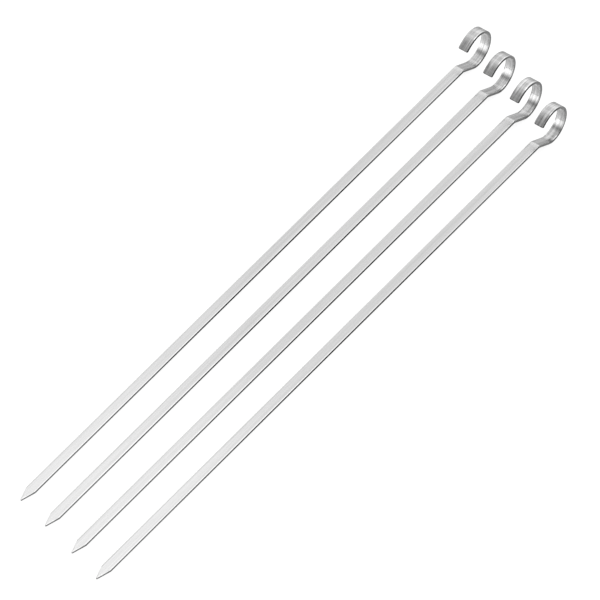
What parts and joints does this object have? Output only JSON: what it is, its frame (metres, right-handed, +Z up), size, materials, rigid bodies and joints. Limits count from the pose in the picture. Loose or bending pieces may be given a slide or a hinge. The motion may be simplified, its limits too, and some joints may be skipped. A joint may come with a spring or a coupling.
{
  "type": "kebab skewer",
  "caption": "Set of flat stainless steel kebab skewers with a cut point and a curled open ring, loose side by side, for grilling meat over charcoal.",
  "frame": {"origin": "on the table under the middle of the row's bounding box", "axes": "+X along the skewers from their points to their rings, +Z up, -Y towards the side from which the picture was taken"},
  "size_m": [0.4838, 0.08, 0.0261],
  "materials": {
    "skewer_steel": "cold-rolled stainless strip, faintly streaked along its length, with sheared and tumbled edges"
  },
  "bodies": {
    "skewer_1": {"skewer_1": "skewer_steel"},
    "skewer_2": {"skewer_2": "skewer_steel"},
    "skewer_3": {"skewer_3": "skewer_steel"},
    "skewer_4": {"skewer_4": "skewer_steel"}
  },
  "joints": [
    {"name": "skewer_2_lift", "type": "slide", "parent": "skewer_1", "child": "skewer_2", "axis": [0, 0, 1], "range_m": [0, 0.05]},
    {"name": "skewer_3_lift", "type": "slide", "parent": "skewer_1", "child": "skewer_3", "axis": [0, 0, 1], "range_m": [0, 0.05]},
    {"name": "skewer_4_lift", "type": "slide", "parent": "skewer_1", "child": "skewer_4", "axis": [0, 0, 1], "range_m": [0, 0.05]}
  ]
}
